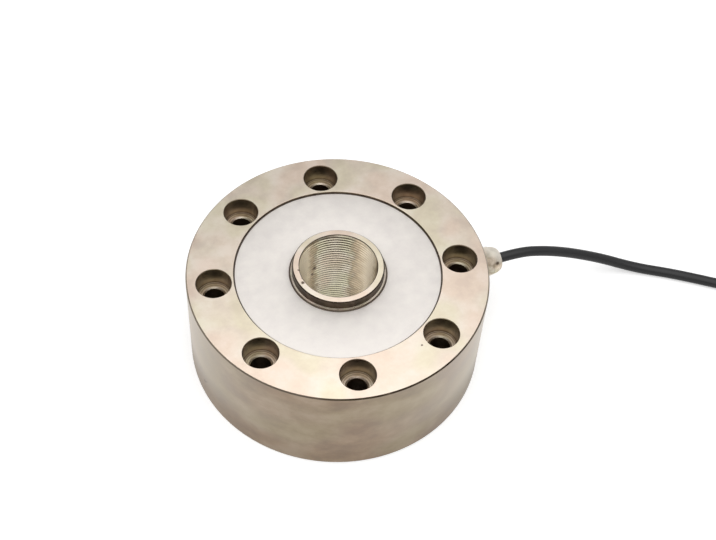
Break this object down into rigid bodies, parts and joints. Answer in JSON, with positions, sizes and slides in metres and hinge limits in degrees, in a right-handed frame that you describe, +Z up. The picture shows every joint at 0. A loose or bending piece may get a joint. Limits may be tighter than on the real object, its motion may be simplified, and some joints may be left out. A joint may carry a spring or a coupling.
{
  "type": "pancake load cell",
  "caption": "Low-profile spoked steel load cell with counterbored rim holes, a raised threaded hub, flat covers, a side cable gland and a coiled cable with bare leads.",
  "frame": {"origin": "centre of the rim's lower face, on the load axis", "axes": "+Z up along the load axis towards the raised hub, +X along the cable gland"},
  "size_m": [0.3464, 0.1496, 0.0506],
  "materials": {
    "nickel_plated_steel": "bright nickel plate over fine turning",
    "cover_steel": "satin, fine turned",
    "nickel_plated_brass": "nickel plated, turned",
    "sealing_compound": "cured, satin",
    "gauge_foil": "polyimide film",
    "board_laminate": "lacquered laminate",
    "tinned_brass": "tinned",
    "resistor_body": "lacquered ceramic",
    "foil_resistor_body": "varnished foil",
    "loom_jacket": "drawn sleeving",
    "rubber": "moulded",
    "nylon_black": "moulded",
    "cable_jacket": "extruded, satin",
    "shrink_sleeve": "heat shrunk, satin",
    "tinned_copper": "tinned strands",
    "insulation_red": "extruded",
    "insulation_black": "extruded",
    "insulation_white": "extruded",
    "insulation_green": "extruded"
  },
  "bodies": {
    "root": {"elastic_body": "nickel_plated_steel", "top_cover": "cover_steel", "bottom_cover": "cover_steel", "top_cover_sealant": "sealing_compound", "bottom_cover_sealant": "sealing_compound", "strain_gauges": "gauge_foil", "terminal_board": "board_laminate", "solder_posts": "tinned_brass", "trim_resistors": "resistor_body", "foil_resistors": "foil_resistor_body", "bridge_loom": "loom_jacket", "bridge_jumpers": "loom_jacket", "gland_body": "nickel_plated_brass", "gland_washer": "rubber", "gland_grommet": "rubber", "gland_clamp": "nylon_black", "gland_nut": "nickel_plated_brass", "cable_inner_end": "cable_jacket", "cable_run": "cable_jacket", "cable_coil": "cable_jacket", "coil_ties": "nylon_black", "cable_tail": "cable_jacket", "jacket_end": "cable_jacket", "jacket_sleeve": "shrink_sleeve", "lead_tips": "tinned_copper", "inner_red": "insulation_red", "lead_red": "insulation_red", "inner_black": "insulation_black", "lead_black": "insulation_black", "inner_white": "insulation_white", "lead_white": "insulation_white", "inner_green": "insulation_green", "lead_green": "insulation_green", "inner_drain": "tinned_copper", "lead_drain": "tinned_copper"}
  },
  "joints": []
}
